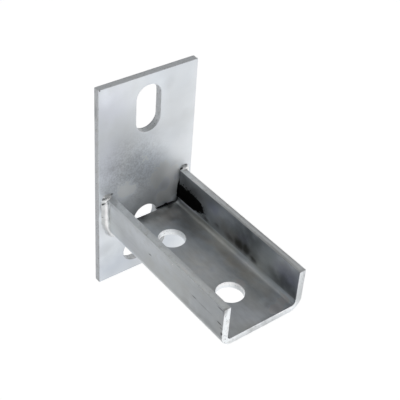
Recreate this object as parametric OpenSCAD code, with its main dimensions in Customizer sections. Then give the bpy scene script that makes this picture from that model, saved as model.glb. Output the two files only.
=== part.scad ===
// Strut saddle flange: a wall plate with slots and a folded channel welded to its face.
// The back of the plate lies in the plane y = 0 and the channel points along -Y, open upwards.

/* [Plate] */
// Width of plate that shows on each side of the channel and carries the weld
plate_side = 4.5; // [4:0.25:20]
// Height of the wall plate
plate_h = 125; // [110:1:180]
// Thickness of the wall plate
plate_t = 4.5; // [3:0.5:8]
// Radius of the edge that the shears rolled over on the back of the plate
plate_roll = 0.9; // [0.3:0.1:1.4]

/* [Fixing holes in the plate] */
// Width of the fixing slots
slot_w = 15; // [9:0.5:17]
// Length of the fixing slots from end to end
slot_l = 28; // [20:0.5:36]
// Distance of the upright slot's centre from the top edge of the plate
top_slot_drop = 20; // [19:0.5:28]
// Height of the level slot's centre above the bottom edge of the plate
low_slot_rise = 14; // [11:0.5:16]
// Diameter of the round hole behind the channel's end
mid_hole_d = 15; // [8:0.5:16]
// Height of the round hole's centre above the bottom edge of the plate
mid_hole_rise = 35; // [33:0.5:42]

/* [Channel] */
// Clear width between the flanges, which takes the strut
seat_w = 43; // [38:0.5:60]
// Thickness of the folded sheet
sheet_t = 4; // [2:0.25:5]
// Height of the flanges, from the underside of the web
flange_h = 25.5; // [20:0.5:40]
// Distance of the channel's free end from the face of the plate
channel_reach = 100; // [90:1:200]
// Gap left between the channel's end and the plate, which the weld beads bridge
root_gap = 0.8; // [0:0.1:1.2]
// Radius inside the two folds
fold_r = 2; // [1:0.25:5]
// Extra radius outside the folds, where bending has thinned the sheet
fold_thinning = 1.5; // [0:0.25:2]
// Height of the underside of the web above the bottom edge of the plate
web_rise = 32.5; // [28:0.5:45]

/* [Holes in the channel] */
// Diameter of the strut bolt holes
bolt_hole_d = 15; // [9:0.5:20]
// Distance of the first bolt hole from the face of the plate
bolt_hole_start = 25; // [18:0.5:35]
// Distance between the bolt holes
bolt_hole_pitch = 50; // [25:0.5:55]

/* [Weld beads] */
// Leg of the weld beads on the plate and on the flanges
weld_leg = 3.5; // [2:0.1:3.9]
// Depth of the bead's centre line behind both faces, where more makes a flatter bead
weld_sink = 1.2; // [0.6:0.1:2]
// Height of a bead's top end above its flange, where it laps over the root gap
weld_top_rise = 2.2; // [0:0.1:2.5]
// Length of a bead under the web, past the fold
weld_return = 6; // [5:0.5:9]

/* [Hidden] */
$fn = 96;
// Room by which a cutting shape passes the face that it cuts
cut_over = 1;
bottom_z = -plate_h / 2;
top_z = plate_h / 2;
web_z = bottom_z + web_rise;
flange_top_z = web_z + flange_h;
channel_w = seat_w + 2 * sheet_t;
plate_w = channel_w + 2 * plate_side;
outer_r = fold_r + sheet_t + fold_thinning;
front_y = -plate_t;
// Radius of the round rod whose exposed quarter is the bead
bead_r = sqrt(pow(weld_leg + weld_sink, 2) + pow(weld_sink, 2));
// Centre line of that rod, on the right
bead_x = channel_w / 2 - weld_sink;
bead_y = front_y + weld_sink;
bead_top_z = flange_top_z + weld_top_rise - bead_r;
fold_x = channel_w / 2 - outer_r;
fold_z = web_z + outer_r;
bead_end_x = fold_x - weld_return + weld_leg + weld_sink;

// A rectangle w by d from y = 0 backwards to y = -d, whose two corners at y = 0 are round
module rolled_section(w, d, r) {
    translate([-w / 2, -d]) square([w, d - r]);
    translate([-w / 2 + r, -d]) square([w - 2 * r, d]);
    for (side = [-1, 1])
        translate([side * (w / 2 - r), -r]) circle(r = r);
}

// The sheared plate with its back edges rolled over
module plate_blank() {
    intersection() {
        translate([0, 0, bottom_z])
            linear_extrude(height = plate_h)
                rolled_section(plate_w, plate_t, plate_roll);
        rotate([0, 90, 0])
            translate([0, 0, -plate_w / 2])
                linear_extrude(height = plate_w)
                    rolled_section(plate_h, plate_t, plate_roll);
    }
}

// A hole right through the plate, along Y
module plate_drill(d, x, z) {
    translate([x, cut_over, z])
        rotate([90, 0, 0])
            cylinder(d = d, h = plate_t + 2 * cut_over);
}

// A slot right through the plate, whose length runs along the unit vector [dx, dz]
module plate_slot(z, dx, dz) {
    reach = (slot_l - slot_w) / 2;
    for (side = [-1, 1])
        plate_drill(slot_w, side * reach * dx, z + side * reach * dz);
    translate([0, -plate_t / 2, z])
        cube([dx * 2 * reach + dz * slot_w, plate_t + 2 * cut_over, dz * 2 * reach + dx * slot_w], center = true);
}

module base_plate() {
    color("lightsteelblue")
        difference() {
            plate_blank();
            plate_slot(top_z - top_slot_drop, 0, 1);
            plate_slot(bottom_z + low_slot_rise, 1, 0);
            plate_drill(mid_hole_d, 0, bottom_z + mid_hole_rise);
        }
}

// The outline of a trough w wide with round bottom corners, from its lowest line up by h
module trough(w, h, r) {
    translate([-w / 2, r]) square([w, h - r]);
    translate([-w / 2 + r, 0]) square([w - 2 * r, h]);
    for (side = [-1, 1])
        translate([side * (w / 2 - r), r]) circle(r = r);
}

// Stands a trough's outline on the web's underside and extrudes it forwards from y = start by length
module along_channel(start, length) {
    translate([0, start, web_z])
        rotate([90, 0, 0])
            linear_extrude(height = length)
                children();
}

module saddle_channel() {
    color("silver")
        difference() {
            along_channel(front_y - root_gap, channel_reach - root_gap)
                difference() {
                    trough(channel_w, flange_h, outer_r);
                    translate([0, sheet_t]) trough(seat_w, flange_h, fold_r);
                }
            for (i = [0, 1])
                translate([0, front_y - bolt_hole_start - i * bolt_hole_pitch, web_z - cut_over])
                    cylinder(d = bolt_hole_d, h = sheet_t + 2 * cut_over);
        }
}

// The round rod that follows the outside of the right flange, the fold and the web
module bead_rod() {
    translate([bead_x, bead_y, fold_z]) cylinder(r = bead_r, h = bead_top_z - fold_z);
    translate([bead_x, bead_y, bead_top_z]) sphere(r = bead_r);
    translate([fold_x, bead_y, fold_z])
        rotate([90, 0, 0])
            rotate([0, 0, -90])
                rotate_extrude(angle = 90)
                    intersection() {
                        translate([outer_r - weld_sink, 0]) circle(r = bead_r);
                        translate([0, -bead_r]) square([outer_r + bead_r, 2 * bead_r]);
                    }
    translate([bead_end_x, bead_y, web_z + weld_sink])
        rotate([0, 90, 0])
            cylinder(r = bead_r, h = fold_x - bead_end_x);
    translate([bead_end_x, bead_y, web_z + weld_sink]) sphere(r = bead_r);
}

// The bead on the right: the rod less the plate, the channel and the room inside and above it
module bead() {
    reach = 3 * bead_r;
    difference() {
        bead_rod();
        translate([-plate_w / 2, front_y, bottom_z]) cube([plate_w, plate_t + reach, plate_h]);
        along_channel(front_y + reach, 3 * reach) {
            trough(channel_w, flange_h, outer_r);
            translate([-seat_w / 2, sheet_t]) square([seat_w, flange_h + reach]);
        }
    }
}

module left_weld() {
    color("gainsboro") mirror([1, 0, 0]) bead();
}

module right_weld() {
    color("gainsboro") bead();
}

base_plate();
saddle_channel();
left_weld();
right_weld();
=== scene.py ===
# Strut saddle flange: looks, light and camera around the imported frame.
import math

import bpy
from mathutils import Matrix, Vector, noise


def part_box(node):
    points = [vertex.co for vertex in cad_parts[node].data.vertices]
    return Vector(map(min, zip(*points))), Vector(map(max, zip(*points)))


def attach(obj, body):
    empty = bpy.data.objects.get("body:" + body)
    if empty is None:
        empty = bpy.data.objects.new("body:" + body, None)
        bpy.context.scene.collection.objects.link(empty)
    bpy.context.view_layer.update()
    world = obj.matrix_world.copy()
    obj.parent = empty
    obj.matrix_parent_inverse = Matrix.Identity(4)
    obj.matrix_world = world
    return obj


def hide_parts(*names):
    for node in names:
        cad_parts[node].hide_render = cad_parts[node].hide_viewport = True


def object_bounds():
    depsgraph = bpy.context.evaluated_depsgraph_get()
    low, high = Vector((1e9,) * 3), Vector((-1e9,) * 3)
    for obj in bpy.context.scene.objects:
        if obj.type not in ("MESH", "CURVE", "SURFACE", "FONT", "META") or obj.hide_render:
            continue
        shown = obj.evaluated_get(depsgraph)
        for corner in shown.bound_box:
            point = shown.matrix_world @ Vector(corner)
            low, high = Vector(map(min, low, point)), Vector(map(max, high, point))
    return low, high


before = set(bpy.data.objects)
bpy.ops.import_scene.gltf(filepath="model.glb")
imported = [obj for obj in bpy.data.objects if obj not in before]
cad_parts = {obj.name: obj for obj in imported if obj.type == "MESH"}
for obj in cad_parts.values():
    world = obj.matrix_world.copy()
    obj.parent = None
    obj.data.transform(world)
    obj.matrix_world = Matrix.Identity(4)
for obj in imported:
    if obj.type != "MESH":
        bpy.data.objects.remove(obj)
cad_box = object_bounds()

MM = 0.001

# Sizes in millimetres that the node boxes don't give; the third is no size of the part but how far in from
# the plate's back its painted shade on upward faces reaches
SHEET_T = 4.0
FOLD_OUTER_R = 7.5
BACK_SHADE_REACH = 0.9
ROOT_GAP = 0.8
# How near points join and how wide edges are broken, in millimetres, and what counts as flat or sharp
MERGE_REACH = 0.001
EDGE_BREAK = 0.22
FLAT_ANGLE = math.radians(0.5)
SHARP_ANGLE = math.radians(40)
BEAD_SHARP_ANGLE = math.radians(60)

# Faces in millimetres, worked out from the node boxes: the plate's front and the channel's two ends
plate_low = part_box("base_plate")[0]
channel_low, channel_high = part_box("saddle_channel")
FACE_Y = plate_low.y / MM
END_Y = channel_low.y / MM
REAR_Y = FACE_Y - ROOT_GAP
# The tops of the flanges and of the web, the far flange's inside and the near flange's outside
RIM_Z = channel_high.z / MM
WEB_Z = channel_low.z / MM + SHEET_T
FAR_X = channel_high.x / MM - SHEET_T
NEAR_X = channel_low.x / MM
# The marks inside the far flange fade out over this line, which lies just above its fold
FOLD_LINE_Z = WEB_Z + 2.8

# Camera, solved from the photo's straight edges, holes and corners
CAMERA_AZIMUTH = math.radians(-39.98)
CAMERA_ELEVATION = math.radians(38.08)
CAMERA_ROLL = math.radians(4.45)
CAMERA_DISTANCE = 492.7 * MM
CAMERA_TARGET = Vector((8.67, -40.0, 3.2)) * MM
CAMERA_CLIP = (0.01, 50.0)
FOCAL_PIXELS = 957.9
FRAME_PIXELS = 400
SENSOR_MM = 36.0

# Studio, in metres: the floor under the object, and the room's brightness from floor to ceiling
FLOOR_DROP = 0.29
FLOOR_SIZE = 12.0
FLOOR_COLOUR = (0.80, 0.80, 0.80, 1.0)
FLOOR_GLOW = 0.74
ROOM_STOPS = ((0.00, 1.0), (0.12, 0.92), (0.36, 0.42), (0.60, 0.30), (1.0, 0.36))
# Dark places in the room: the direction, its reach and how much light it takes away
DARK_PLACES = (
    ((-0.50, 0.60, 0.62), 0.75, 0.88),
    ((-0.51, -0.60, 0.62), 0.50, 0.60),
)
# The grey card just over the floor, on the left behind the object, and the lamp overhead
CARD_PLACE = (-0.85, 0.55)
CARD_SIZE = (1.5, 1.6)
CARD_RISE = 0.01
CARD_GREY = 0.52
LAMP_PLACE = (-0.3, -0.5, 1.5)
LAMP_SIZE = 1.2
LAMP_WATTS = 2.2

# Colours, all linear. No place on the plate is brighter than BRIGHTEST_ZINC
BLACK = (0.0, 0.0, 0.0, 1.0)
WHITE = (1.0, 1.0, 1.0, 1.0)
ZINC = (0.655, 0.686, 0.698, 1.0)
ZINC_PLATE = (0.776, 0.804, 0.832, 1.0)
ZINC_PLATE_COOL = (0.745, 0.782, 0.822, 1.0)
BRIGHTEST_ZINC = (0.965, 0.988, 1.0, 1.0)
ZINC_PALE = (0.900, 0.915, 0.920, 1.0)
ZINC_BLUE = (0.690, 0.735, 0.800, 1.0)
ZINC_DIM = (0.300, 0.305, 0.320, 1.0)
ZINC_COOL = (0.690, 0.725, 0.765, 1.0)
ZINC_LILAC = (0.795, 0.820, 0.885, 1.0)
ZINC_VIOLET = (0.500, 0.520, 0.640, 1.0)
ZINC_WARM = (0.600, 0.590, 0.550, 1.0)
ZINC_OLIVE = (0.700, 0.690, 0.630, 1.0)
ZINC_BROWN = (0.560, 0.520, 0.480, 1.0)
CUT_ZINC = (0.925, 0.950, 0.970, 1.0)
RIM_ZINC = (0.850, 0.875, 0.885, 1.0)
WELD_FLANK = (0.975, 0.990, 0.995, 1.0)
WELD_DULL = (0.850, 0.875, 0.880, 1.0)
# Painted shade on the beads: at the toe, low down and along the top edge
WELD_TOE = (0.350, 0.345, 0.350, 1.0)
WELD_LOW = (0.760, 0.775, 0.780, 1.0)
WELD_LIP = (0.400, 0.410, 0.415, 1.0)
# Near black: painted shade in the root gap and on the channel's rear end, a painted dark reflection in the
# far corner, and the corner dot and deep weld pits
NEAR_BLACK = (0.001, 0.001, 0.001, 1.0)
SCUFF = (0.060, 0.062, 0.066, 1.0)
# Dark grey of the painted dark reflection's fringe and of the painted darker band along the far flange
DARK_REFLECTION_GREY = (0.075, 0.072, 0.068, 1.0)
SPECK = (0.950, 0.950, 0.950, 1.0)

# Roughness
PLATE_ROUGH = 0.50
CHANNEL_ROUGH = 0.38
ROUGH_SWING = 0.04
CUT_ROUGH = 0.55
DULL_ROUGH = 0.55
DARK_PATCH_ROUGH = 0.75
WELD_ROUGH = (0.30, 0.42)
# How metallic the walls of the plate's slots, the misted place next to the far flange and the beads are
WALL_METALLIC = 0.35
MIST_METALLIC = 0.25
WELD_METALLIC = 0.80
# Strengths of single marks in the finish
CUT_PIT_SHARE = 0.5
RIM_PIT_SHARE = 0.22
CUT_CLOUD_SHARE = 0.35
MOTE_SHARE = 0.40
BLOT_SHARE = 0.16
BACK_SHADE_SHARE = 0.6
FRINGE_SHARE = 0.72
DARK_CORE_GAIN = 2.6
CRUMB_GAIN = 6.0
LIP_SHARE = 0.75
# How many times as bright fine grain makes the plate and the channel's level faces, least and most
SPECKLE = (0.92, 1.09)
FAINT_CLOUDS = (0.96, 1.04)
# Depths of the relief in millimetres
LINE_DEPTH = 0.01
SPANGLE_DEPTH = 0.16
GRIT_DEPTH = 0.05
WELD_GRAIN_DEPTH = 0.03
# Between which heights and widths in millimetres the beads' painted shade changes: darker low down, at the
# toe by the channel and along the top edge
WELD_LOW_Z = (-20.0, -26.0)
WELD_TOE_Z = (-20.0, -8.0)
WELD_LIP_Z = (-3.8, -3.0)
WELD_LIP_X = (27.6, 26.4)

# Marks on the plate in millimetres: centre, radii and strength
# Lilac tint painted with the lighter reflection at the plate's top, along its left edge and next to the far
# flange
LILAC_MARKS = (
    ((-24, FACE_Y, 50), (20, 2, 20), 0.8),
    ((-24, FACE_Y, 18), (14, 2, 26), 0.7),
    ((14, FACE_Y, -14), (16, 2, 12), 0.5),
)
BLUE_MARKS = (
    ((-20, FACE_Y, -54), (22, 2, 14), 0.9),
    ((8, FACE_Y, -54), (24, 2, 12), 0.5),
    ((2, FACE_Y, 6), (20, 2, 18), 0.5),
)
# Where the zinc is grainy, a smooth disc in it, and a misted place next to the far flange
SPANGLE_MARKS = (((-10, FACE_Y, 6), (31, 4, 31), 1.0),)
SMOOTH_MARKS = (((-13.5, FACE_Y, -5.6), (7, 4, 7), 1.0),)
MIST_MARKS = (((18.5, FACE_Y, -7), (13, 3, 16), 1.0),)
# Painted shade, black dots and lines in the gap where the channel meets the plate; and one black dot at the
# plate's corner
ROOT_MARKS = (
    ((-22.3, FACE_Y, -3.4), (1.1, 2, 0.9), 0.6),
    ((22.0, FACE_Y, -18.5), (1.1, 2, 7), 1.0),
    ((12.5, FACE_Y, -25.7), (9.5, 2, 0.75), 1.0),
    ((13.5, FACE_Y, -25.4), (1.6, 2, 1.1), 1.0),
)
CORNER_DOT = (((-29.3, FACE_Y, 62.2), (0.45, 0.6, 0.45), 1.0),)
# Walls of the level slot that are painted pale, as painted light where they catch the light
LIT_WALLS = (
    ((12.5, -2, -51), (6, 5, 9), 1.0),
    ((-5.0, -2.2, -56), (5, 5, 4), 0.9),
)

# Marks on the channel in millimetres: centre, radii and strength
COOL_MARKS = (
    ((FAR_X, -42, -8), (2, 12, 5), 1.0),
    ((-12, -24, WEB_Z), (10, 16, 2), 0.6),
    ((NEAR_X, -38, -10), (2, 40, 12), 0.9),
)
# The first warm mark tints the painted highlight along the far fold
WARM_MARKS = (
    ((16, -60, -25), (7, 56, 4), 1.0),
    ((0, -52, WEB_Z), (16, 22, 2), 0.5),
)
BROWN_MARKS = (
    ((9, -12, WEB_Z), (18, 14, 2.5), 0.6),
    ((-14, -20, WEB_Z), (8, 16, 2.5), 0.6),
    ((FAR_X, -52, -17), (2, 22, 8), 0.6),
)
VIOLET_MARKS = (
    ((FAR_X, -97, -13), (3, 14, 10), 1.0),
    ((FAR_X, -36, -10), (3, 8, 7), 0.7),
    ((FAR_X, -62, -14), (3, 7, 7), 0.5),
)
# A painted beige highlight along the far fold
FOLD_HIGHLIGHT_MARKS = (((20.2, -36, -25.0), (3.0, 38, 2.4), 0.8),)
DULL_MARKS = (((17, -64, WEB_Z), (8, 66, 4), 1.0),)
# Painted dark reflection in the far corner, its soft fringe, and a painted darker band further out along the
# far flange
DARK_REFLECTION_MARKS = (
    ((FAR_X, -9, -18.9), (3, 12, 6.5), 1.0),
    ((FAR_X, -18, -17.7), (3, 11.5, 5.7), 1.0),
    ((FAR_X, -25.6, -18.7), (3, 3.6, 1.7), 1.0),
    ((FAR_X, -5.0, -12.8), (3, 1.0, 4.2), 1.0),
)
DARK_REFLECTION_FRINGE_MARKS = (
    ((FAR_X, -13, -15.5), (3, 19, 8.0), 1.0),
    ((FAR_X, -27, -17.8), (3, 6.5, 6.8), 1.0),
)
DARK_BAND_MARKS = (
    ((FAR_X, -59, -19.0), (2.4, 8.0, 6.0), 1.0),
    ((FAR_X, -64.5, -18.6), (2.4, 6.5, 6.0), 1.0),
    ((FAR_X, -52, -20.0), (2.4, 9, 3.6), 0.60),
    ((FAR_X, -71, -21.0), (2.4, 7.0, 3.4), 0.75),
    ((FAR_X, -40, -19.6), (2.4, 4.5, 2.6), 0.55),
    ((FAR_X, -31, -21.6), (2.4, 6.0, 2.4), 0.70),
)
# Dark scuffs and one pale speck outside the near flange
SCUFF_MARKS = (
    ((NEAR_X, -101.8, -5.6), (0.8, 3.2, 0.45), 1.0),
    ((NEAR_X, -82.0, -13.8), (0.8, 2.6, 0.40), 0.9),
    ((NEAR_X, -90.0, -14.2), (0.8, 8.0, 0.26), 0.6),
    ((NEAR_X, -101.8, -14.8), (0.8, 2.6, 0.50), 1.0),
    ((NEAR_X, -103.4, -17.0), (0.8, 1.4, 0.40), 0.8),
    ((NEAR_X, -103.9, -20.2), (0.8, 0.9, 1.3), 0.9),
    ((NEAR_X, -45.0, -14.0), (0.8, 1.6, 0.40), 0.9),
)
SPECK_MARKS = (((NEAR_X, -63.8, -6.5), (0.5, 0.5, 0.35), 1.0),)

# Painted light and shade in millimetres: centre, radii and how many times as bright
PLATE_LIGHT_AND_SHADE = (
    ((-10, FACE_Y, 57), (28, 2, 16), 1.08),
    ((-25, FACE_Y, 20), (13, 2, 34), 1.10),
    ((-2, FACE_Y, 20), (14, 2, 12), 1.10),
    ((8, FACE_Y, 2), (20, 2, 24), 1.16),
    ((12, FACE_Y, -2), (13, 2, 13), 1.18),
    ((20, FACE_Y, -15), (11, 2, 16), 1.90),
    ((-14, FACE_Y, -4), (10, 2, 10), 1.38),
    ((-8, FACE_Y, -54), (46, 2, 34), 0.82),
    ((15, FACE_Y, -11), (7, 2, 8), 0.72),
    ((21, FACE_Y, -23.5), (5, 2, 6), 0.40),
    ((-9, FACE_Y, -6), (5, 2, 6), 1.25),
    ((-27.6, FACE_Y, -9.0), (3.4, 2, 4.4), 0.60),
    ((5, FACE_Y, -5), (8, 2, 7), 1.15),
    ((-28, FACE_Y, -18), (4, 2, 6), 1.20),
    ((-22, FACE_Y, -15), (4, 2, 4), 0.88),
    ((-27, FACE_Y, 58), (7, 2, 9), 1.14),
    ((-2, FACE_Y, 11), (6, 2, 5), 1.20),
    ((-30, -1.5, 49), (1.5, 2.2, 6), 0.72),
    ((20.5, FACE_Y, -9), (4, 2, 4.5), 0.62),
    ((20, FACE_Y, -1.5), (4, 2, 3.5), 1.18),
    ((19, FACE_Y, -20), (4.5, 2, 4), 1.50),
    ((9.5, FACE_Y, -18.5), (5, 2, 6.5), 1.40),
    ((15, FACE_Y, -21), (4, 2, 4), 1.22),
    ((6, FACE_Y, -11), (5, 2, 5), 1.12),
    ((-9, FACE_Y, -1.5), (3.5, 2, 3.5), 0.86),
    ((-5, FACE_Y, -14.5), (3.5, 2, 3.5), 0.86),
    ((19, FACE_Y, 32), (12, 2, 44), 0.91),
    ((12, FACE_Y, 54), (6, 2, 7), 0.93),
    ((-27, FACE_Y, -40), (9, 2, 8), 0.89),
    ((-21, FACE_Y, 14), (9, 2, 5), 0.88),
)
LIT_WALL_TONES = (((13, -2, -45.5), (6, 5, 6), 0.70),)
CHANNEL_LIGHT_AND_SHADE = (
    ((17, -64, WEB_Z), (8, 66, 4), 1.16),
    ((15, -31, WEB_Z), (9, 14, 3), 0.80),
    ((7, -25, WEB_Z), (11, 14, 3), 0.84),
    ((3, -8, WEB_Z), (17, 7, 3), 0.55),
    ((-5, -6.5, WEB_Z), (6, 4, 3), 0.42),
    ((15.5, -6.3, WEB_Z), (3.5, 2.4, 3), 0.45),
    ((10, -16.5, WEB_Z), (5, 5, 3), 0.76),
    ((11.5, -102, WEB_Z), (6, 5, 3), 1.45),
    ((-2, -62, WEB_Z), (6, 14, 3), 1.10),
    ((0, -62, WEB_Z), (20, 28, 3), 1.14),
    ((8, -66, WEB_Z), (9, 44, 3), 1.20),
    ((6, -102, WEB_Z), (26, 20, 3), 1.12),
    ((25, END_Y, -12), (7, 3, 22), 0.72),
    ((0, END_Y, -28.5), (30, 3, 4), 0.66),
)
# Painted light and shade in narrow places anywhere on the channel, whose outlines aren't shaken by noise
NARROW_LIGHT_AND_SHADE = (
    ((21.0, -15, -25.2), (2.2, 34, 2.0), 0.36),
    ((FAR_X, -52, -24.0), (1.6, 22, 1.4), 1.35),
    ((18.5, -92, WEB_Z), (9, 26, 3), 1.10),
    ((20.6, -88, -24.8), (2.8, 28, 2.2), 1.25),
    ((-5.5, -6.2, WEB_Z), (10.5, 5.5, 2), 0.42),
    ((1, -17, WEB_Z), (7, 5, 2), 0.87),
    ((-5, -9.8, WEB_Z), (4.5, 3.5, 2), 0.80),
    ((14, -6.5, WEB_Z), (3.2, 4, 2), 0.58),
    ((8, -7, WEB_Z), (3.2, 3.2, 2), 1.22),
    ((11, -18, WEB_Z), (3.5, 3.5, 2), 0.78),
    ((8.5, -15, WEB_Z), (3.5, 4, 2), 0.86),
    ((16.3, -13.2, WEB_Z), (3.4, 4.2, 2), 1.36),
    ((11.4, -102, WEB_Z), (5, 4, 2), 1.80),
    ((10, -94, WEB_Z), (4, 4, 2), 1.22),
    ((8.5, -78, WEB_Z), (4, 5, 2), 1.22),
    ((-12, -84, WEB_Z), (4, 24, 2), 1.14),
    ((-2, -101, WEB_Z), (12, 5, 2), 1.08),
    ((9, -74, WEB_Z), (4.5, 16, 2), 1.13),
    ((0, -50, WEB_Z), (6, 10, 2), 1.10),
    ((15.5, -40, WEB_Z), (3.5, 6, 2), 0.84),
    ((15.5, -54, WEB_Z), (3, 5, 2), 0.88),
    ((19.5, -70, -25), (4.5, 11, 3), 1.32),
    ((18, -99, WEB_Z), (7, 6, 3), 1.24),
    ((20, -6.3, -25.6), (3, 2.4, 2), 1.80),
    ((FAR_X, -68, -22), (1.5, 6, 1.6), 1.30),
    ((FAR_X, -54, -5.5), (1.5, 22, 1.8), 0.84),
    ((FAR_X, -66, -18.3), (1.5, 26, 4), 0.82),
    ((FAR_X, -98.5, -14.5), (1.5, 4, 3.5), 1.25),
    ((FAR_X, -103, -20), (1.5, 2.5, 3.5), 0.80),
    ((NEAR_X, -7.6, -14.5), (1.5, 2.6, 9), 0.80),
    ((NEAR_X, -12, -5.5), (1.5, 5, 2.5), 0.84),
    ((FAR_X, -8, -6.8), (1.5, 8, 2.6), 0.80),
    ((-24.9, END_Y, -5.2), (2.6, 2, 4.2), 0.60),
    ((24, END_Y, -22), (6, 2, 9), 0.80),
    ((6, END_Y, -26.6), (26, 2, 1.6), 0.86),
    ((20.2, -70, -25.9), (1.6, 24, 1.4), 1.15),
    ((-4.6, -23.6, -28.3), (4.5, 4.5, 2.4), 0.55),
)
# Painted light and shade inside the far flange, outside the near flange, and on the tops of both
FAR_LIGHT_AND_SHADE = (
    ((FAR_X, -34, -12), (4, 62, 30), 0.54),
    ((FAR_X, -7, -8), (4, 11, 12), 0.62),
    ((FAR_X, -16, -11), (4, 14, 5), 0.62),
    ((FAR_X, -19, -9), (4, 14, 7), 0.76),
    ((FAR_X, -37, -12), (4, 9, 8), 1.35),
    ((FAR_X, -60, -10), (4, 12, 9), 0.84),
    ((FAR_X, -58, -8), (4, 18, 10), 0.84),
    ((FAR_X, -70, -12), (4, 11, 22), 0.62),
    ((FAR_X, -76, -15), (4, 6, 11), 1.25),
    ((FAR_X, -94, -10), (4, 10, 9), 0.82),
    ((FAR_X, -98, -16), (4, 18, 18), 0.76),
    ((FAR_X, -99, -21), (4, 26, 9), 0.62),
    ((FAR_X, END_Y, -12), (4, 3, 16), 1.25),
    ((FAR_X, -62, -14), (4, 9, 12), 0.80),
    ((FAR_X, -93, -19), (4, 14, 6), 0.70),
    ((FAR_X, -5.5, -6.5), (4, 5, 5), 0.72),
    ((FAR_X, -72, -21.5), (4, 7, 2.5), 1.35),
)
NEAR_LIGHT_AND_SHADE = (
    ((NEAR_X, -34, -9.5), (3, 42, 8), 1.16),
    ((NEAR_X, -106, -14), (3, 50, 34), 0.78),
    ((NEAR_X, -88, -23.5), (4, 38, 5), 0.82),
    ((NEAR_X, -13, -20), (3, 10, 9), 1.18),
    ((NEAR_X, -8.2, -14), (1.5, 1.1, 16), 0.70),
    ((NEAR_X, -7.5, -6), (3, 4, 3.5), 0.75),
)
RIM_LIGHT_AND_SHADE = (
    ((-24, -5.5, RIM_Z), (4, 10, 3), 0.66),
    ((-24.5, -74, RIM_Z), (2.5, 52, 2), 1.16),
    ((22.5, -17, RIM_Z), (3, 14, 2), 1.18),
    ((22, -84, RIM_Z), (1.8, 34, 2), 0.66),
    ((25.5, -66, RIM_Z), (2.2, 54, 2), 0.76),
    ((25.5, -5, RIM_Z), (2.5, 6, 2), 0.62),
    ((22, -52, RIM_Z), (1.5, 22, 2), 0.76),
)

# Weld beads in millimetres: lap over the flange's top, round corner there, and length under the web
BEAD_LAP = 1.6
BEAD_CORNER_R = 1.5
BEAD_RETURN = 5.5
BEAD_SLICES = 260
BEAD_FACETS = 26
# Lengths over which a bead rounds off at its first and last end, and the least share that is left there
BEAD_FIRST_ROUND = 1.2
BEAD_LAST_ROUND = 2.2
LEAST_TAPER = 0.06
# Lengths of the lumps and ripples, how far a ripple bows, and their shares of the bead's radius
LUMP_LENGTH = 2.6
LUMP_SHARE = 0.07
RIPPLE_LENGTH = 1.3
RIPPLE_BOW = 0.9
RIPPLE_SHARE = 0.010
ROUGH_SHARE = 0.035
DEEPEST_PIT_SHARE = 0.6
# How full the bead's section is by the plate and how much fuller by the channel: 1 is flat, 2 is round
SECTION_POWER = 1.35
SECTION_POWER_RISE = 1.6
# Each stop: distance along the bead and the leg there
PLATE_LEG_STOPS = (
    (0, 1.8), (1.6, 2.3), (3.0, 3.2), (5, 3.2), (14, 3.3), (18, 3.1),
    (21.5, 2.3), (23.5, 1.9), (26.5, 2.7), (28, 3.2), (32, 3.7), (38, 3.5),
)
CHANNEL_LEG_STOPS = ((0, 1.6), (3.6, 2.1), (8, 2.5), (15, 2.7), (22, 3.0), (27, 3.3), (38, 3.3))
# Each pit: distance along the bead, angle round it in degrees, radius and depth
LEFT_PITS = (
    (3.3, 6, 0.45, 0.60),
    (3.0, 20, 0.45, 0.55),
    (2.6, 38, 0.45, 0.50),
    (2.1, 56, 0.50, 0.45),
    (1.2, 76, 0.50, 0.45),
    (5.4, 8, 0.50, 0.75),
    (5.0, 22, 0.50, 0.65),
    (4.5, 38, 0.45, 0.45),
    (14.0, 10, 0.60, 0.40),
    (3.6, 78, 0.50, 0.45),
    (4.8, 84, 0.45, 0.40),
)
RIGHT_PITS = (
    (0.5, 50, 0.75, 0.90),
    (1.5, 16, 0.45, 0.45),
    (2.4, 8, 0.50, 0.45),
    (2.0, 62, 0.40, 0.40),
    (3.2, 66, 0.45, 0.45),
    (9.5, 40, 0.45, 0.40),
    (17.0, 20, 0.50, 0.35),
)
# Where the noise starts that roughens each bead
LEFT_SEED = 3.7
RIGHT_SEED = 9.2


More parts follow.
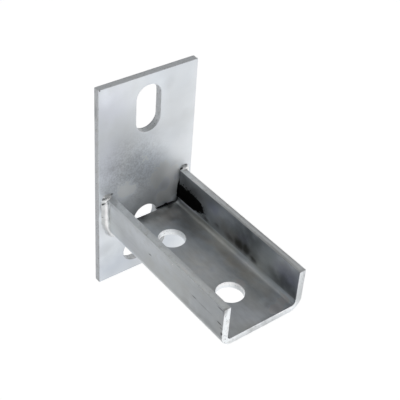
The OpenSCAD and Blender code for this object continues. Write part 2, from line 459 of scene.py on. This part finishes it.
class Nodes:
    """Makes and joins the nodes of one material or world, after clearing it."""

    def __init__(self, owner, output_kind):
        owner.use_nodes = True
        self.tree = owner.node_tree
        self.tree.nodes.clear()
        self.result = self.node(output_kind).inputs["Surface"]

    def node(self, kind, **settings):
        made = self.tree.nodes.new(kind)
        for key, value in settings.items():
            setattr(made, key, value)
        return made

    def put(self, socket, value):
        """Links another node's output to a socket, or sets the socket to a constant."""
        if isinstance(value, bpy.types.NodeSocket):
            self.tree.links.new(value, socket)
        else:
            socket.default_value = value

    def math(self, operation, a, b=0.0):
        made = self.node("ShaderNodeMath", operation=operation)
        self.put(made.inputs[0], a)
        self.put(made.inputs[1], b)
        return made.outputs[0]

    def times(self, a, b):
        return self.math("MULTIPLY", a, b)

    def absolute(self, value):
        return self.math("ABSOLUTE", value)

    def rest_of(self, mask):
        """1 where the mask is 0, and 0 where it is 1."""
        return self.math("SUBTRACT", 1.0, mask)

    def vector(self, operation, a, b=(0, 0, 0)):
        made = self.node("ShaderNodeVectorMath", operation=operation)
        self.put(made.inputs[0], a)
        self.put(made.inputs["Scale" if operation == "SCALE" else 1], b)
        return made.outputs["Value" if operation == "LENGTH" else "Vector"]

    def axis(self, vector, name):
        made = self.node("ShaderNodeSeparateXYZ")
        self.put(made.inputs[0], vector)
        return made.outputs[name]

    def remap(self, value, low, high, to_low=0.0, to_high=1.0):
        """Goes smoothly from one number to another while the value goes from low to high."""
        made = self.node("ShaderNodeMapRange", interpolation_type="SMOOTHSTEP")
        self.put(made.inputs["Value"], value)
        made.inputs["From Min"].default_value = low
        made.inputs["From Max"].default_value = high
        made.inputs["To Min"].default_value = to_low
        made.inputs["To Max"].default_value = to_high
        return made.outputs["Result"]

    def patch(self, where, centre, radii, soft=0.6):
        """1 inside an ellipsoid in mm, fading to 0 at its edge."""
        offset = self.vector("SUBTRACT", where, centre)
        scaled = self.vector("MULTIPLY", offset, [1 / r for r in radii])
        reach = self.vector("LENGTH", scaled)
        return self.remap(reach, 1.0, 1.0 - soft)

    def patches(self, where, marks, soft=0.6):
        """The strongest of several patches: each mark is a centre, radii and a strength."""
        total = 0.0
        for centre, radii, strength in marks:
            mark = self.times(self.patch(where, centre, radii, soft), strength)
            total = self.math("MAXIMUM", total, mark)
        return total

    def tones(self, where, marks, soft=0.9):
        """How many times as bright each place is: each mark is a centre, radii and a ratio."""
        total = 1.0
        for centre, radii, ratio in marks:
            share = self.patch(where, centre, radii, soft)
            total = self.times(total, self.fade(share, 1.0, ratio))
        return total

    def mix(self, mask, under, over):
        """Goes from one colour to another by a mask."""
        made = self.node("ShaderNodeMix", data_type="RGBA")
        self.put(made.inputs["Factor"], mask)
        self.put(made.inputs["A"], under)
        self.put(made.inputs["B"], over)
        return made.outputs["Result"]

    def fade(self, mask, under, over):
        """Goes from one number to another by a mask."""
        made = self.node("ShaderNodeMix", data_type="FLOAT")
        self.put(made.inputs["Factor"], mask)
        self.put(made.inputs["A"], under)
        self.put(made.inputs["B"], over)
        return made.outputs["Result"]


class Look(Nodes):
    """A metal material that is built up in steps, with patterns laid out in mm on the object."""

    def __init__(self, name):
        self.material = bpy.data.materials.new(name)
        super().__init__(self.material, "ShaderNodeOutputMaterial")
        where = self.node("ShaderNodeTexCoord")
        self.place = self.vector("SCALE", where.outputs["Object"], 1 / MM)
        self.facing = where.outputs["Normal"]
        self.colour = WHITE
        self.metallic = 1.0
        self.roughness = 0.5
        self.normal = None

    def noise(self, size, stretch=(1, 1, 1), detail=3.0, seed=0.0, output="Fac"):
        """Cloudy noise with features of this size in mm, drawn out along each axis by stretch."""
        drawn = self.vector("MULTIPLY", self.place, [1 / s for s in stretch])
        moved = self.vector("ADD", drawn, (seed, seed * 0.7, seed * 1.3))
        made = self.node("ShaderNodeTexNoise")
        made.inputs["Scale"].default_value = 1 / size
        made.inputs["Detail"].default_value = detail
        self.put(made.inputs["Vector"], moved)
        return made.outputs[output]

    def warped(self, size, amount, seed=0.0):
        """The place on the object, shaken by noise, for marks with ragged edges."""
        shake = self.noise(size, detail=4, seed=seed, output="Color")
        centred = self.vector("SUBTRACT", shake, (0.5, 0.5, 0.5))
        return self.vector("ADD", self.place, self.vector("SCALE", centred, 2 * amount))

    def paint(self, mask, colour):
        """Goes over to another colour where the mask says."""
        self.colour = self.mix(mask, self.colour, colour)

    def brighten(self, ratio, mask=1.0):
        """Makes the colour this many times as bright where the mask says."""
        self.paint(mask, self.vector("SCALE", self.colour, ratio))

    def roughen(self, mask, roughness):
        """Goes over to another roughness where the mask says."""
        self.roughness = self.fade(mask, self.roughness, roughness)

    def dull_metal(self, mask, metallic):
        """Goes over to another share of metal where the mask says."""
        self.metallic = self.fade(mask, self.metallic, metallic)

    def emboss(self, height, depth):
        """Raises the surface by height times depth in mm, over the relief that it has."""
        made = self.node("ShaderNodeBump")
        made.inputs["Distance"].default_value = depth * MM
        self.put(made.inputs["Height"], height)
        if self.normal:
            self.put(made.inputs["Normal"], self.normal)
        self.normal = made.outputs["Normal"]

    def finish(self):
        """Joins everything to the shader and returns the material."""
        shader = self.node("ShaderNodeBsdfPrincipled")
        self.put(shader.inputs["Base Color"], self.colour)
        self.put(shader.inputs["Metallic"], self.metallic)
        self.put(shader.inputs["Roughness"], self.roughness)
        self.put(shader.inputs["Normal"], self.normal)
        self.put(self.result, shader.outputs["BSDF"])
        return self.material


def clear_defaults():
    """Takes out the objects that a new file starts with."""
    for name in ("Cube", "Light", "Camera"):
        left_over = bpy.data.objects.get(name)
        if left_over:
            bpy.data.objects.remove(left_over)


def make_camera():
    """The photo's camera, which looks at the target from the front left and above."""
    data = bpy.data.cameras.new("photo_camera")
    camera = bpy.data.objects.new("photo_camera", data)
    bpy.context.scene.collection.objects.link(camera)
    data.sensor_width = SENSOR_MM
    data.lens = FOCAL_PIXELS / FRAME_PIXELS * SENSOR_MM
    data.clip_start, data.clip_end = CAMERA_CLIP
    az, el, roll = CAMERA_AZIMUTH, CAMERA_ELEVATION, CAMERA_ROLL
    back = Vector((math.sin(az) * math.cos(el), -math.cos(az) * math.cos(el), math.sin(el)))
    right = Vector((math.cos(az), math.sin(az), 0))
    up = back.cross(right)
    rolled_right = math.cos(roll) * right + math.sin(roll) * up
    rolled_up = -math.sin(roll) * right + math.cos(roll) * up
    turn = Matrix((rolled_right, rolled_up, back)).transposed().to_4x4()
    camera.matrix_world = Matrix.Translation(CAMERA_TARGET + back * CAMERA_DISTANCE) @ turn
    bpy.context.scene.camera = camera


def make_world():
    """A white room to the camera, and to the metal a white horizon under a grey ceiling."""
    world = bpy.data.worlds.new("studio")
    bpy.context.scene.world = world
    room = Nodes(world, "ShaderNodeOutputWorld")
    direction = room.node("ShaderNodeTexCoord").outputs["Generated"]
    ramp = room.node("ShaderNodeValToRGB")
    ramp.color_ramp.interpolation = "EASE"
    stops = ramp.color_ramp.elements
    while len(stops) < len(ROOM_STOPS):
        stops.new(0.5)
    for stop, (height, grey) in zip(stops, ROOM_STOPS):
        stop.position = height
        stop.color = (grey, grey, grey, 1)
    room.put(ramp.inputs["Fac"], room.axis(direction, "Z"))
    shade = room.patches(direction, [(way, [reach] * 3, share) for way, reach, share in DARK_PLACES])
    shaded = room.mix(shade, ramp.outputs["Color"], BLACK)
    path = room.node("ShaderNodeLightPath")
    seen = room.math("MAXIMUM", path.outputs["Is Camera Ray"], path.outputs["Is Transmission Ray"])
    light = room.node("ShaderNodeBackground")
    room.put(light.inputs["Color"], room.mix(seen, shaded, WHITE))
    room.put(room.result, light.outputs["Background"])


def flat_panel(name, centre, size):
    """A level rectangle that belongs to the studio."""
    half_x, half_y = size[0] / 2, size[1] / 2
    mesh = bpy.data.meshes.new(name)
    corners = [(-half_x, -half_y, 0), (half_x, -half_y, 0), (half_x, half_y, 0), (-half_x, half_y, 0)]
    mesh.from_pydata(corners, [], [(0, 1, 2, 3)])
    panel = bpy.data.objects.new(name, mesh)
    bpy.context.scene.collection.objects.link(panel)
    panel.location = centre
    return panel


def make_floor():
    """A pale matt floor with a little glow of its own, so that it shows white but for the shadow."""
    low = cad_box[0]
    floor = flat_panel("floor", (0, 0, low.z - FLOOR_DROP), (FLOOR_SIZE, FLOOR_SIZE))
    material = bpy.data.materials.new("pale_floor")
    nodes = Nodes(material, "ShaderNodeOutputMaterial")
    path = nodes.node("ShaderNodeLightPath")
    seen = nodes.rest_of(path.outputs["Is Diffuse Ray"])
    glow = nodes.node("ShaderNodeEmission")
    nodes.put(glow.inputs["Strength"], nodes.times(seen, FLOOR_GLOW))
    matt = nodes.node("ShaderNodeBsdfDiffuse")
    nodes.put(matt.inputs["Color"], FLOOR_COLOUR)
    both = nodes.node("ShaderNodeAddShader")
    nodes.put(both.inputs[0], matt.outputs["BSDF"])
    nodes.put(both.inputs[1], glow.outputs["Emission"])
    nodes.put(nodes.result, both.outputs["Shader"])
    floor.data.materials.append(material)


def make_side_card():
    """A grey card low on the left behind the object, seen only in the metal's reflections."""
    low = cad_box[0]
    card = flat_panel("side_card", (*CARD_PLACE, low.z - FLOOR_DROP + CARD_RISE), CARD_SIZE)
    card.visible_camera = False
    card.visible_diffuse = False
    card.visible_shadow = False
    card.visible_transmission = False
    material = bpy.data.materials.new("card_grey")
    nodes = Nodes(material, "ShaderNodeOutputMaterial")
    grey = nodes.node("ShaderNodeEmission")
    nodes.put(grey.inputs["Strength"], CARD_GREY)
    nodes.put(nodes.result, grey.outputs["Emission"])
    card.data.materials.append(material)


def make_lamp():
    """One broad soft lamp overhead, turned towards the origin."""
    data = bpy.data.lights.new("soft_box", "AREA")
    data.size = LAMP_SIZE
    data.energy = LAMP_WATTS
    lamp = bpy.data.objects.new("soft_box", data)
    bpy.context.scene.collection.objects.link(lamp)
    lamp.location = LAMP_PLACE
    lamp.rotation_euler = Vector(LAMP_PLACE).to_track_quat("Z", "Y").to_euler()


def zinc_sheet(look, base, cool, along, rough, clouding, streaks):
    """Plated sheet with soft clouds, and rolling lines that are drawn out along one direction."""
    clouds = look.noise(13, detail=3, seed=4)
    drift = look.noise(38, detail=2, seed=19)
    lines = look.noise(0.7, stretch=along, detail=3, seed=2)
    look.colour = base
    look.paint(look.remap(drift, 0.38, 0.62), cool)
    look.paint(look.times(look.remap(clouds, 0.45, 0.72), clouding), ZINC_WARM)
    look.paint(look.times(look.remap(lines, 0.50, 0.75), streaks), ZINC_DIM)
    look.roughness = look.fade(look.remap(clouds, 0.3, 0.7), rough - ROUGH_SWING, rough + ROUGH_SWING)
    look.emboss(lines, LINE_DEPTH)


def cut_face(look, mask, bare, pit_share):
    """Goes over to the rougher zinc of sheared and sawn faces where the mask says."""
    grit = look.noise(0.8, detail=4, seed=31)
    pitted = look.times(look.remap(grit, 0.42, 0.28), pit_share)
    clouds = look.times(look.remap(look.noise(4.0, detail=3, seed=37), 0.5, 0.75), CUT_CLOUD_SHARE)
    look.paint(mask, look.mix(pitted, look.mix(clouds, bare, ZINC_WARM), SCUFF))
    look.roughen(mask, CUT_ROUGH)
    look.emboss(look.times(grit, mask), GRIT_DEPTH)


def spangle(look, mask):
    """Grainy zinc with pale motes and dim blots where the mask says."""
    grain = look.noise(1.6, detail=4, seed=7)
    motes = look.times(look.remap(look.noise(1.1, detail=2, seed=43), 0.58, 0.74), mask)
    blots = look.times(look.remap(look.noise(4.5, detail=3, seed=13), 0.50, 0.72), mask)
    look.paint(look.times(motes, MOTE_SHARE), ZINC_PALE)
    look.paint(look.times(blots, BLOT_SHARE), ZINC_DIM)
    speckle = look.remap(look.noise(1.0, detail=3, seed=57), 0.38, 0.62, *SPECKLE)
    look.brighten(look.fade(mask, 1.0, speckle))
    look.emboss(look.times(grain, mask), SPANGLE_DEPTH)


def plate_look():
    look = Look("zinc_plate")
    zinc_sheet(look, ZINC_PLATE, ZINC_PLATE_COOL, (1, 1, 8), PLATE_ROUGH, clouding=0.10, streaks=0.0)
    soft = look.warped(12, 2.0, seed=23)
    # Lilac tint of the painted reflection at the plate's top and left edge
    look.paint(look.patches(soft, LILAC_MARKS, soft=0.9), ZINC_LILAC)
    look.paint(look.patches(soft, BLUE_MARKS, soft=0.9), ZINC_BLUE)
    smooth = look.patches(look.place, SMOOTH_MARKS, soft=0.4)
    spangle(look, look.times(look.patches(soft, SPANGLE_MARKS, soft=0.8), look.rest_of(smooth)))

    edges = look.remap(look.absolute(look.axis(look.facing, "Y")), 0.75, 0.6)
    lit = look.times(look.patches(look.place, LIT_WALLS), edges)
    look.dull_metal(edges, WALL_METALLIC)
    look.dull_metal(look.patches(soft, MIST_MARKS, soft=0.9), MIST_METALLIC)
    look.dull_metal(lit, 0.0)
    cut_face(look, edges, ZINC_PLATE, CUT_PIT_SHARE)
    # Painted shade: upward faces near the plate's back are painted darker
    back_shade = look.remap(look.axis(look.place, "Y"), -BACK_SHADE_REACH, 0.5 - BACK_SHADE_REACH)
    back_shade = look.times(back_shade, look.remap(look.axis(look.facing, "Z"), 0.2, 0.6))
    look.paint(look.times(back_shade, BACK_SHADE_SHARE), ZINC_DIM)

    # Painted light and shade on the plate
    look.brighten(look.tones(soft, PLATE_LIGHT_AND_SHADE))
    # Painted light: the lit walls of the level slot are painted pale, a little darker at the top
    look.paint(lit, look.vector("SCALE", WHITE[:3], look.tones(look.place, LIT_WALL_TONES)))
    look.colour = look.vector("MINIMUM", look.colour, BRIGHTEST_ZINC[:3])
    knobbly = look.warped(1.6, 0.5, seed=29)
    # Painted shade in the gap at the channel's root
    look.paint(look.patches(knobbly, ROOT_MARKS, soft=0.4), NEAR_BLACK)
    look.paint(look.patches(look.place, CORNER_DOT), NEAR_BLACK)
    return look.finish()


def paint_dark_reflection(look, over_fold):
    """A painted dark reflection with a grainy edge in the far corner, its soft fringe, and a painted darker
    band further out.
    """
    fringe = look.patches(look.warped(4.0, 1.5, seed=47), DARK_REFLECTION_FRINGE_MARKS, soft=1.0)
    core = look.patches(look.warped(1.8, 1.3, seed=11), DARK_REFLECTION_MARKS, soft=0.4)
    dark_band = look.patches(look.warped(3.0, 1.2, seed=11), DARK_BAND_MARKS, soft=1.0)
    crumbs = look.math("SUBTRACT", look.noise(1.1, detail=5, seed=41), 0.5)
    crumbs = look.times(look.times(crumbs, CRUMB_GAIN), look.remap(fringe, 0.25, 0.60))
    dark_patch = look.math("ADD", look.times(core, DARK_CORE_GAIN), crumbs)
    dark_patch = look.times(look.remap(dark_patch, 0.15, 0.90), over_fold)
    look.paint(look.times(look.times(fringe, FRINGE_SHARE), over_fold), DARK_REFLECTION_GREY)
    look.paint(look.times(look.remap(dark_band, 0.05, 0.95), over_fold), DARK_REFLECTION_GREY)
    look.paint(dark_patch, NEAR_BLACK)
    look.roughen(dark_patch, DARK_PATCH_ROUGH)


def channel_look():
    look = Look("zinc_channel")
    zinc_sheet(look, ZINC, ZINC_COOL, (1, 30, 1), CHANNEL_ROUGH, clouding=0.25, streaks=0.11)
    soft = look.warped(9, 4, seed=5)
    for marks, tint in (
        (COOL_MARKS, ZINC_COOL),
        (WARM_MARKS, ZINC_WARM),
        (BROWN_MARKS, ZINC_BROWN),
        (VIOLET_MARKS, ZINC_VIOLET),
    ):
        look.paint(look.patches(soft, marks, soft=0.9), tint)
    # Painted highlight along the far fold
    look.paint(look.patches(look.place, FOLD_HIGHLIGHT_MARKS, soft=0.7), ZINC_OLIVE)
    look.roughen(look.patches(soft, DULL_MARKS, soft=0.7), DULL_ROUGH)

    height = look.axis(look.place, "Z")
    facing_along = look.axis(look.facing, "Y")
    facing_up = look.axis(look.facing, "Z")
    middle = look.remap(look.absolute(look.axis(look.place, "X")), 9.0, 8.5)
    free_end = look.remap(facing_along, -0.6, -0.75)
    bores = look.times(look.remap(look.absolute(facing_up), 0.75, 0.6), middle)
    up = look.remap(facing_up, 0.6, 0.75)
    rims = look.times(up, look.remap(height, RIM_Z - 1.5, RIM_Z - 1.0))
    cut_face(look, rims, RIM_ZINC, RIM_PIT_SHARE)
    cut_face(look, look.math("MAXIMUM", free_end, bores), CUT_ZINC, CUT_PIT_SHARE)

    faint = look.remap(look.noise(2.4, stretch=(1, 2.5, 1), detail=3, seed=61), 0.35, 0.65, *FAINT_CLOUDS)
    over_fold = look.remap(height, FOLD_LINE_Z, FOLD_LINE_Z + 0.4)
    leftward = look.remap(look.axis(look.facing, "X"), -0.20, -0.45)
    look.brighten(faint, up)
    # Painted light and shade on the channel
    look.brighten(look.tones(soft, CHANNEL_LIGHT_AND_SHADE))
    look.brighten(look.tones(look.place, NARROW_LIGHT_AND_SHADE))
    look.brighten(look.tones(soft, NEAR_LIGHT_AND_SHADE), leftward)
    look.brighten(look.tones(soft, FAR_LIGHT_AND_SHADE), look.times(leftward, over_fold))
    look.brighten(look.tones(look.place, RIM_LIGHT_AND_SHADE), rims)

    # Painted shade: the channel's rear end in the root gap is painted near black, except where it shows
    # through the web holes
    by_plate = look.remap(look.axis(look.place, "Y"), REAR_Y - 0.6, REAR_Y - 0.3)
    rear_end = look.times(look.remap(facing_along, 0.4, 0.6), by_plate)
    look.paint(look.times(rear_end, look.rest_of(middle)), NEAR_BLACK)
    # Painted dark reflection inside the far flange
    paint_dark_reflection(look, over_fold)
    jagged = look.warped(0.8, 0.25, seed=17)
    look.paint(look.patches(jagged, SCUFF_MARKS, soft=0.7), SCUFF)
    look.paint(look.patches(look.place, SPECK_MARKS), SPECK)
    return look.finish()


def weld_look():
    """Rippled beads: "round" runs from the plate's side to the channel's, and "pit" is how deep a pit is."""
    look = Look("weld_bead")
    grain = look.noise(1.2, detail=3, seed=3)
    clouds = look.noise(3.0, detail=3, seed=8)
    share = look.node("ShaderNodeAttribute", attribute_name="round").outputs["Fac"]
    pit = look.node("ShaderNodeAttribute", attribute_name="pit").outputs["Fac"]
    height = look.axis(look.place, "Z")
    outward = look.absolute(look.axis(look.place, "X"))
    crest_highlight = look.times(look.remap(share, 0.40, 0.55), look.remap(share, 0.94, 0.82))
    toe_shade = look.times(look.remap(share, 0.94, 1.00), look.remap(height, *WELD_TOE_Z))
    lip_shade = look.times(look.remap(height, *WELD_LIP_Z), look.remap(outward, *WELD_LIP_X))
    look.colour = WELD_DULL
    look.paint(look.remap(clouds, 0.42, 0.62), WELD_FLANK)
    # Painted highlight along the crest, then painted shade low down, at the toe and along the top edge
    look.paint(crest_highlight, WHITE)
    look.paint(look.remap(height, *WELD_LOW_Z), WELD_LOW)
    look.paint(toe_shade, WELD_TOE)
    look.paint(look.times(lip_shade, LIP_SHARE), WELD_LIP)
    look.paint(look.remap(pit, 0.12, 0.55), SCUFF)
    look.paint(look.remap(pit, 0.70, 0.95), NEAR_BLACK)
    look.metallic = WELD_METALLIC
    look.roughness = look.fade(look.remap(grain, 0.35, 0.65), *WELD_ROUGH)
    look.emboss(grain, WELD_GRAIN_DEPTH)
    return look.finish()


def between(stops, run):
    """The value at run on a line of (place, value) stops, eased from one stop to the next."""
    for (start, low), (end, high) in zip(stops, stops[1:]):
        if run <= end:
            share = max(0.0, (run - start) / (end - start))
            return low + (high - low) * share * share * (3 - 2 * share)
    return stops[-1][1]


class BeadPath:
    """The line that a bead follows: over the flange top, down the flange, round the fold, under the web."""

    def __init__(self):
        self.side_x = channel_high.x / MM
        self.fold_x = self.side_x - FOLD_OUTER_R
        self.fold_z = channel_low.z / MM + FOLD_OUTER_R
        self.corner = BEAD_CORNER_R * math.pi / 2
        self.drop = RIM_Z - BEAD_CORNER_R - self.fold_z
        self.turn = FOLD_OUTER_R * math.pi / 2
        self.length = BEAD_LAP + self.corner + self.drop + self.turn + BEAD_RETURN

    def at(self, run):
        """The point at this distance along the path, and the way out of the channel there."""
        run -= BEAD_LAP
        if run < 0:
            return Vector((self.side_x - BEAD_CORNER_R + run, 0, RIM_Z)), Vector((0, 0, 1))
        if run < self.corner:
            angle = run / BEAD_CORNER_R
            out = Vector((math.sin(angle), 0, math.cos(angle)))
            middle = Vector((self.side_x - BEAD_CORNER_R, 0, RIM_Z - BEAD_CORNER_R))
            return middle + out * BEAD_CORNER_R, out
        run -= self.corner
        if run < self.drop:
            return Vector((self.side_x, 0, self.fold_z + self.drop - run)), Vector((1, 0, 0))
        run -= self.drop
        angle = min(run / FOLD_OUTER_R, math.pi / 2)
        out = Vector((math.cos(angle), 0, -math.sin(angle)))
        past = max(0.0, run - self.turn)
        return Vector((self.fold_x - past, 0, self.fold_z)) + out * FOLD_OUTER_R, out


def pit_depth(pits, run, angle, reach):
    """How deep the deepest pit is at a distance along the bead and an angle round it."""
    sunk = 0.0
    for place, around, radius, depth in pits:
        off = math.hypot(run - place, reach * (angle - math.radians(around)))
        sunk = max(sunk, depth * math.exp(-(off / radius) ** 2))
    return sunk


def bead_section(run, length, pits, seed):
    """Points round the bead at run: away from the channel, away from the plate, pit depth, share round it."""
    near_end = min(run / BEAD_FIRST_ROUND, (length - run) / BEAD_LAST_ROUND, 1.0)
    taper = max(LEAST_TAPER, math.sqrt(max(0.0, 1 - (1 - near_end) ** 2)))
    lump = 1 + LUMP_SHARE * noise.noise(Vector((run / LUMP_LENGTH, seed, 0)))
    wave = 2 * noise.noise(Vector((run / 3, seed, 5)))
    plate_leg = between(PLATE_LEG_STOPS, run) * taper * lump
    channel_leg = between(CHANNEL_LEG_STOPS, run) * taper * lump
    points = []
    for i in range(BEAD_FACETS + 1):
        share = i / BEAD_FACETS
        angle = math.pi / 2 * share
        power = SECTION_POWER + SECTION_POWER_RISE * share ** 2
        flat = (math.cos(angle) / plate_leg) ** power + (math.sin(angle) / channel_leg) ** power
        reach = flat ** (-1 / power)
        inner = math.sin(2 * angle)
        ripple = math.sin(2 * math.pi * (run - RIPPLE_BOW * inner) / RIPPLE_LENGTH + wave)
        rough = noise.noise(Vector((run * 1.1, angle * 3, seed)))
        reach *= 1 + inner * (RIPPLE_SHARE * ripple + ROUGH_SHARE * rough)
        sunk = pit_depth(pits, run, angle, reach)
        reach -= min(sunk, DEEPEST_PIT_SHARE * reach)
        points.append((reach * math.cos(angle), reach * math.sin(angle), min(1.0, sunk), share))
    root = ROOT_GAP * taper
    points += [(0, root, 1.0, 1.0), (-root, 0.9 * root, 1.0, 1.0), (-root, 0, 1.0, 0.0)]
    return points


def weld_bead(side, node, pits, seed):
    """The bead at one side of the channel: side is -1 on the left and 1 on the right."""
    path = BeadPath()
    corners = []
    depths = []
    shares = []
    for i in range(BEAD_SLICES + 1):
        run = path.length * i / BEAD_SLICES
        corner, out = path.at(run)
        section = bead_section(run, path.length, pits, seed)
        for away, along, depth, share in section:
            point = corner + out * away
            corners.append(Vector((side * point.x, FACE_Y - along, point.z)) * MM)
            depths.append(depth)
            shares.append(share)
    count = len(section)
    faces = []
    for i in range(BEAD_SLICES):
        for j in range(count):
            a = i * count + j
            b = i * count + (j + 1) % count
            faces.append((a, b, b + count, a + count))
    faces.append(tuple(reversed(range(count))))
    faces.append(tuple(range(BEAD_SLICES * count, (BEAD_SLICES + 1) * count)))
    if side < 0:
        faces = [tuple(reversed(face)) for face in faces]
    mesh = bpy.data.meshes.new(node + "_bead")
    mesh.from_pydata(corners, [], faces)
    mesh.attributes.new("pit", "FLOAT", "POINT").data.foreach_set("value", depths)
    mesh.attributes.new("round", "FLOAT", "POINT").data.foreach_set("value", shares)
    mesh.shade_smooth()
    mesh.set_sharp_from_angle(angle=BEAD_SHARP_ANGLE)
    bead = bpy.data.objects.new(node + "_bead", mesh)
    bpy.context.scene.collection.objects.link(bead)
    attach(bead, "root")
    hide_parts(node)
    return bead


def soften_edges(node):
    """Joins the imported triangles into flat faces, and breaks the sharp edges by a hair."""
    merge = node.modifiers.new("merge", "WELD")
    merge.merge_threshold = MERGE_REACH * MM
    flats = node.modifiers.new("flats", "DECIMATE")
    flats.decimate_type = "DISSOLVE"
    flats.angle_limit = FLAT_ANGLE
    edge = node.modifiers.new("edge", "BEVEL")
    edge.width = EDGE_BREAK * MM
    edge.segments = 3
    edge.limit_method = "ANGLE"
    edge.angle_limit = SHARP_ANGLE
    even = node.modifiers.new("even", "WEIGHTED_NORMAL")
    even.keep_sharp = False
    even.weight = 100


clear_defaults()
make_camera()
make_world()
make_floor()
make_side_card()
make_lamp()

for name, material in (("base_plate", plate_look()), ("saddle_channel", channel_look())):
    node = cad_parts[name]
    node.material_slots[0].material = material
    soften_edges(node)
weld = weld_look()
weld_bead(-1, "left_weld", LEFT_PITS, LEFT_SEED).data.materials.append(weld)
weld_bead(1, "right_weld", RIGHT_PITS, RIGHT_SEED).data.materials.append(weld)

bpy.context.scene.view_settings.view_transform = "Standard"
